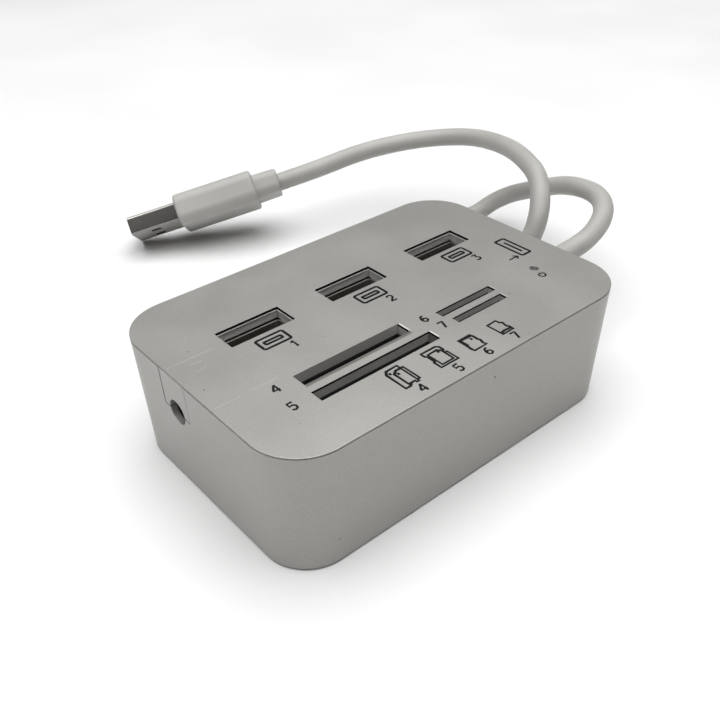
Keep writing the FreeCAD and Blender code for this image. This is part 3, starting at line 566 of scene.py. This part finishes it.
def card_marks():
    """Outlines of four kinds of card along the front edge, each with its steps, notches and dots."""
    stick = [
        (-13.7, -17.4), (-13.1, -16.6), (-10.75, -16.5), (-10.75, -21.7), (-11.25, -21.7),
        (-11.25, -21.3), (-12.1, -21.3), (-12.7, -21.85), (-13.7, -21.85),
    ]
    stick_side = [(-10.75, -17.4), (-10.2, -17.4), (-10.2, -21.25), (-10.75, -21.25)]
    stick_label = [(-10.75, -17.4), (-11.8, -17.4), (-12.6, -18.0), (-12.6, -21.25), (-12.1, -21.3)]
    large = [
        (-5.8, -16.85), (-2.6, -16.85), (-2.1, -17.3), (-2.1, -18.2), (-2.45, -18.6), (-2.45, -19.0),
        (-2.0, -19.0), (-2.0, -21.6), (-5.8, -21.6), (-5.8, -20.0), (-5.5, -19.7), (-5.5, -18.1),
        (-5.8, -17.8),
    ]
    large_label = [(-5.1, -17.75), (-3.0, -17.65), (-2.5, -18.35), (-2.6, -21.1), (-5.1, -21.1)]
    mini = [
        (1.4, -18.2), (4.1, -18.2), (4.25, -18.85), (4.2, -19.9), (4.4, -20.35), (4.1, -21.3),
        (4.35, -21.85), (1.5, -21.9), (1.35, -21.3), (1.45, -20.2),
    ]
    mini_edge = [(1.7, -20.3), (1.7, -18.52), (3.95, -18.52)]
    micro = [
        (8.3, -18.3), (10.45, -18.2), (10.55, -19.0), (10.95, -19.3), (10.7, -20.4), (10.95, -20.8),
        (10.95, -21.75), (8.4, -21.8),
    ]
    micro_edge = [(8.4, -21.4), (9.3, -21.15), (10.8, -21.25)]
    lines = [(points, True) for points in (stick, large, large_label, mini, micro)]
    lines += [(points, False) for points in (stick_side, stick_label, mini_edge, micro_edge)]
    flat_lines("card_marks", lines, LINE, INK_AND_SHADE)
    dots = [dot(-13.05, -17.5), dot(-12.0, -18.3), dot(-3.2, -18.15), dot(3.45, -19.2)]
    flat_lines("card_dots", dots, DOT, INK_AND_SHADE)


# The ring beside the light with the gap in it, and the arrow towards the cable
RING_PLACE = (28.5, -13.4)
RING_RADIUS = 0.65
RING_START = 125
RING_SWEEP = 290
RING_STEPS = 12
STROKE_REACH = (0.15, 0.85)
ARROW_TAIL = (28.2, -5.7)
ARROW_TIP = (30.6, -5.7)
ARROW_HEAD = (0.8, 0.7)


def power_mark():
    """Broken ring with a stroke beside the light, and an arrow towards the cable."""
    x, y = RING_PLACE
    ring = []
    for step in range(RING_STEPS + 1):
        angle = math.radians(RING_START + step * RING_SWEEP / RING_STEPS)
        ring.append((x + RING_RADIUS * math.cos(angle), y + RING_RADIUS * math.sin(angle)))
    stroke = [(x, y + reach) for reach in STROKE_REACH]
    lines = [(ring, False), (stroke, False), ([ARROW_TAIL, ARROW_TIP], False)]
    for side in (1, -1):
        barb = (ARROW_TIP[0] - ARROW_HEAD[0], ARROW_TIP[1] + side * ARROW_HEAD[1])
        lines.append(([barb, ARROW_TIP], False))
    flat_lines("power_mark", lines, POWER_LINE, INK_AND_SHADE)


# Strokes of the plain digits, 1.6 high and centred on 0
DIGITS = {
    "1": [(-0.3, 0.45), (0.0, 0.78), (0.1, 0.78), (0.1, -0.8)],
    "2": [
        (-0.45, 0.45), (-0.25, 0.75), (0.2, 0.8), (0.45, 0.5), (0.4, 0.1), (-0.45, -0.7),
        (-0.45, -0.8), (0.5, -0.8),
    ],
    "3": [
        (-0.45, 0.8), (0.42, 0.8), (0.42, 0.7), (0.0, 0.15), (0.35, 0.0), (0.48, -0.35),
        (0.25, -0.75), (-0.2, -0.8), (-0.48, -0.55),
    ],
    "4": [(0.25, -0.8), (0.25, 0.78), (0.15, 0.78), (-0.5, -0.2), (-0.5, -0.3), (0.5, -0.3)],
    "5": [
        (0.42, 0.8), (-0.38, 0.8), (-0.42, 0.1), (0.1, 0.2), (0.45, -0.1), (0.4, -0.6), (0.0, -0.82),
        (-0.45, -0.6),
    ],
    "6": [
        (0.35, 0.78), (-0.15, 0.6), (-0.45, 0.0), (-0.42, -0.5), (0.0, -0.82), (0.42, -0.5), (0.38, -0.05),
        (0.0, 0.12), (-0.42, -0.15),
    ],
    "7": [(-0.45, 0.8), (0.46, 0.8), (0.46, 0.68), (-0.1, -0.8)],
}

# Where the numbers stand: in a row at the ports, in a row at the card outlines, and left of each slot
PORT_NUMBERS = (("1", -19.0), ("2", 2.4), ("3", 24.4))
PORT_NUMBERS_Y = -0.75
CARD_NUMBERS = (("4", -11.6), ("5", -3.8), ("6", 3.0), ("7", 9.7))
CARD_NUMBERS_Y = -23.4
SLOT_NUMBERS = (("4", -28.6, -8.6), ("5", -29.2, -13.7), ("6", 1.9, -9.6), ("7", 3.0, -13.1))


def digit(text, x, y):
    return ([(x + px * NUMBER_SIZE, y + py * NUMBER_SIZE) for px, py in DIGITS[text]], False)


def numbers():
    """Ports and slots are numbered, and the card outlines carry their slots' numbers."""
    lines = [digit(text, x, PORT_NUMBERS_Y) for text, x in PORT_NUMBERS]
    lines += [digit(text, x, y) for text, x, y in SLOT_NUMBERS]
    lines += [digit(text, x, CARD_NUMBERS_Y) for text, x in CARD_NUMBERS]
    flat_lines("numbers", lines, NUMBER_LINE, INK_AND_SHADE)


# Wear and painted highlights: how wide and how high scratches, painted highlight lines and specks are
SCRATCH_WIDTH = 0.09
SCRATCH_RISE = 0.004
WEAR_RISE = 0.006
LARGE_RIM = 0.27
SMALL_RIM = 0.13
SPECK_WIDTH = 0.24
SPECK_SLANT = 0.04
LARGE_SPECK = 0.13
SMALL_SPECK = 0.05
FRONT_SPECK_OUT = 0.006
FRONT_SPECK_IN = 0.004


def scratches():
    """Faint light scratches along the lid near the jack end."""
    lines = [
        ([(-38.5, 7.2), (-33.0, 7.25), (-29.9, 7.15)], False),
        ([(-38.4, -6.5), (-33.6, -6.5)], False),
        ([(-31.4, -6.4), (-26.5, -6.4)], False),
        ([(-35.2, 5.7), (-33.0, 5.5)], False),
        ([(-35.6, 3.3), (-33.5, 3.5)], False),
    ]
    flat_lines("scratches", lines, SCRATCH_WIDTH, SCRATCH, rise=SCRATCH_RISE)


def slot_rims():
    """Painted highlight: a bright line along the right end of each card slot."""
    large = [([(-2.24, -7.85), (-2.24, -10.5)], False), ([(0.05, -12.95), (0.05, -15.1)], False)]
    small = [([(18.28, -9.6), (18.28, -11.1)], False), ([(17.88, -12.85), (17.88, -14.2)], False)]
    flat_lines("slot_rims", large, LARGE_RIM, PAINTED_HIGHLIGHT, rise=WEAR_RISE)
    flat_lines("small_slot_rims", small, SMALL_RIM, PAINTED_HIGHLIGHT, rise=WEAR_RISE)


def specks():
    """Small dark specks on the lid and on the front side."""
    large = ((-33.45, 9.03), (-36.96, -1.45), (19.01, -13.78))
    small = ((-14.35, -2.28), (-30.88, -17.75), (10.92, -4.58), (-2.23, -11.43))
    lines = []
    for reach, places in ((LARGE_SPECK, large), (SMALL_SPECK, small)):
        lines += [([(x - reach, y), (x + reach, y + SPECK_SLANT)], False) for x, y in places]
    flat_lines("specks", lines, SPECK_WIDTH, DIRT, rise=WEAR_RISE)
    boxes = []
    for x, y, z, size in ((2.78, -25.455, 20.16, 0.36), (-30.06, -24.921, 5.31, 0.24)):
        low = (x - size / 2, y - FRONT_SPECK_OUT, z - size / 2)
        high = (x + size / 2, y + FRONT_SPECK_IN, z + size / 2)
        boxes.append((low, high))
    thin_boxes("front_specks", boxes, DIRT)


# Thin dark films, some of them painted shade, and light rims of painted highlight in the openings: sizes,
# gaps, and depths below the lid's face
FILM = 0.015
FILM_GAP = 0.02
END_GAP = 0.025
RIM_DEEP = 0.12
END_RIM_DEEP = 0.1
RIGHT_FRONT = 5.25
PORT_FILM = (0.55, 0.02)
PORT_RIM = (0.74, 0.58)
SLOT_FILM = (0.42, 0.05)
SMALL_FILM = (0.32, 0.05)
# Depths of painted shade: low in the small slots, and on the right end of the SD slot
SMALL_FOOT = (2.0, 1.42)
END_SHADE = (2.2, 0.42)


def upright_film(x_reach, y_reach, depths):
    """The corners of a film over a stretch of x and y, between two depths below the lid's face."""
    low, high = (TOP - depth for depth in depths)
    return (x_reach[0], y_reach[0], low), (x_reach[1], y_reach[1], high)


def slot_edges(name):
    """Left, right, front and back of a card slot."""
    x, y = (value / MM for value in mounts[name]["pos_m"][:2])
    length, width = SLOT_SIZES[name]
    return x - length / 2, x + length / 2, y - width / 2, y + width / 2


def port_lines(back_deep, right_deep, depths):
    """Films along the back and the right end of each port's opening."""
    boxes = []
    for middle in PORT_MIDDLES:
        left = middle - PORT_HALF
        right = middle + PORT_HALF
        inner = PORT_BACK - back_deep
        boxes.append(upright_film((left, right), (inner, PORT_BACK), depths))
        boxes.append(upright_film((right - right_deep, right), (RIGHT_FRONT, inner), depths))
    return boxes


def sd_end(depths):
    """A film on the right end of the SD slot, between two depths."""
    left, right, front, back = slot_edges("sd_slot")
    return upright_film((right - FILM, right), (front + END_GAP, back - END_GAP), depths)


def port_edges():
    """Dark lines under the edge of the openings, at the back and right, and painted shade low on the back wall
    of the small slots.
    """
    boxes = port_lines(FILM, FILM, PORT_FILM)
    left, right, front, back = slot_edges("sd_slot")
    boxes.append(upright_film((left, right), (back - FILM, back), SLOT_FILM))
    boxes.append(sd_end(SLOT_FILM))
    for name in ("stick_slot", "mini_stick_slot", "micro_slot"):
        left, right, front, back = slot_edges(name)
        boxes.append(upright_film((right - FILM, right), (front, back), SLOT_FILM))
    # Painted shade low on the back wall of the small slots, under a dark line at their edge
    for name in ("mini_stick_slot", "micro_slot"):
        left, right, front, back = slot_edges(name)
        for depths in (SMALL_FILM, SMALL_FOOT):
            boxes.append(upright_film((left, right - FILM_GAP), (back - FILM, back), depths))
    thin_boxes("port_edges", boxes, INK_AND_SHADE)


def slot_shade():
    """Painted shade: a darker film on the wall at the right end of the SD slot."""
    thin_boxes("slot_shade", [sd_end(END_SHADE)], SLOT_SHADE)


def port_rims():
    """Painted highlight: a light rim below the dark line at the back and the right of each port."""
    thin_boxes("port_rims", port_lines(RIM_DEEP, END_RIM_DEEP, PORT_RIM), PAINTED_HIGHLIGHT)


port_marks()
card_marks()
power_mark()
numbers()
scratches()
slot_rims()
specks()
port_edges()
slot_shade()
port_rims()

# The room, in metres and watts
FLOOR_SIZE = 6.0
BACKDROP_RADIUS = 0.62
BACKDROP_HEIGHT = 3.0
BACKDROP_GLOW = 0.88
ROOM_COLOUR = (1.0, 0.99, 0.975, 1.0)
ROOM_GLOW = 0.03


def make_floor():
    bpy.ops.mesh.primitive_plane_add(size=FLOOR_SIZE, location=(0.0, 0.0, 0.0))
    floor = bpy.context.object
    floor.name = "floor"
    pale = Surface("floor")
    cloud = pale.noise(size_mm=60.0, detail=2.0)
    pale.colour(pale.two_tone(cloud, dark=(0.71, 0.71, 0.71), light=(0.74, 0.74, 0.74)))
    pale.gloss(cloud, low=0.6, high=0.7)
    floor.data.materials.append(pale.material)


def make_backdrop():
    """White paper that stands on the floor round the part. Only the camera sees it, so it changes no light."""
    bpy.ops.mesh.primitive_cylinder_add(
        vertices=128,
        radius=BACKDROP_RADIUS,
        depth=BACKDROP_HEIGHT,
        end_fill_type="NOTHING",
        location=(0.0, 0.0, BACKDROP_HEIGHT / 2),
    )
    paper = bpy.context.object
    paper.name = "backdrop"
    paper.visible_diffuse = False
    paper.visible_glossy = False
    paper.visible_shadow = False
    white = Surface("backdrop")
    white.shader.inputs["Emission Color"].default_value = (1.0, 1.0, 1.0, 1.0)
    white.shader.inputs["Emission Strength"].default_value = BACKDROP_GLOW
    paper.data.materials.append(white.material)


def area_light(name, place, target, side, power):
    """A square light that looks from its place to the target."""
    data = bpy.data.lights.new(name, "AREA")
    data.shape = "RECTANGLE"
    data.size = side
    data.size_y = side
    data.energy = power
    light = bpy.data.objects.new(name, data)
    light.location = place
    aim = Vector(target) - Vector(place)
    light.rotation_euler = aim.to_track_quat("-Z", "Y").to_euler()
    scene.collection.objects.link(light)


def make_light():
    """Wide soft light from above, a weak one from the left, in a dark room."""
    world = bpy.data.worlds.new("room")
    world.use_nodes = True
    background = world.node_tree.nodes["Background"]
    background.inputs["Color"].default_value = ROOM_COLOUR
    background.inputs["Strength"].default_value = ROOM_GLOW
    scene.world = world
    area_light("above", place=(0.0, 0.0, 0.90), target=(0.0, 0.0, 0.0), side=1.2, power=18.2)
    area_light("left", place=(-0.80, 0.10, 0.40), target=(0.0, 0.0, 0.01), side=0.6, power=0.75)


make_floor()
make_backdrop()
make_light()
scene.view_settings.view_transform = "Standard"

bpy.context.view_layer.update()
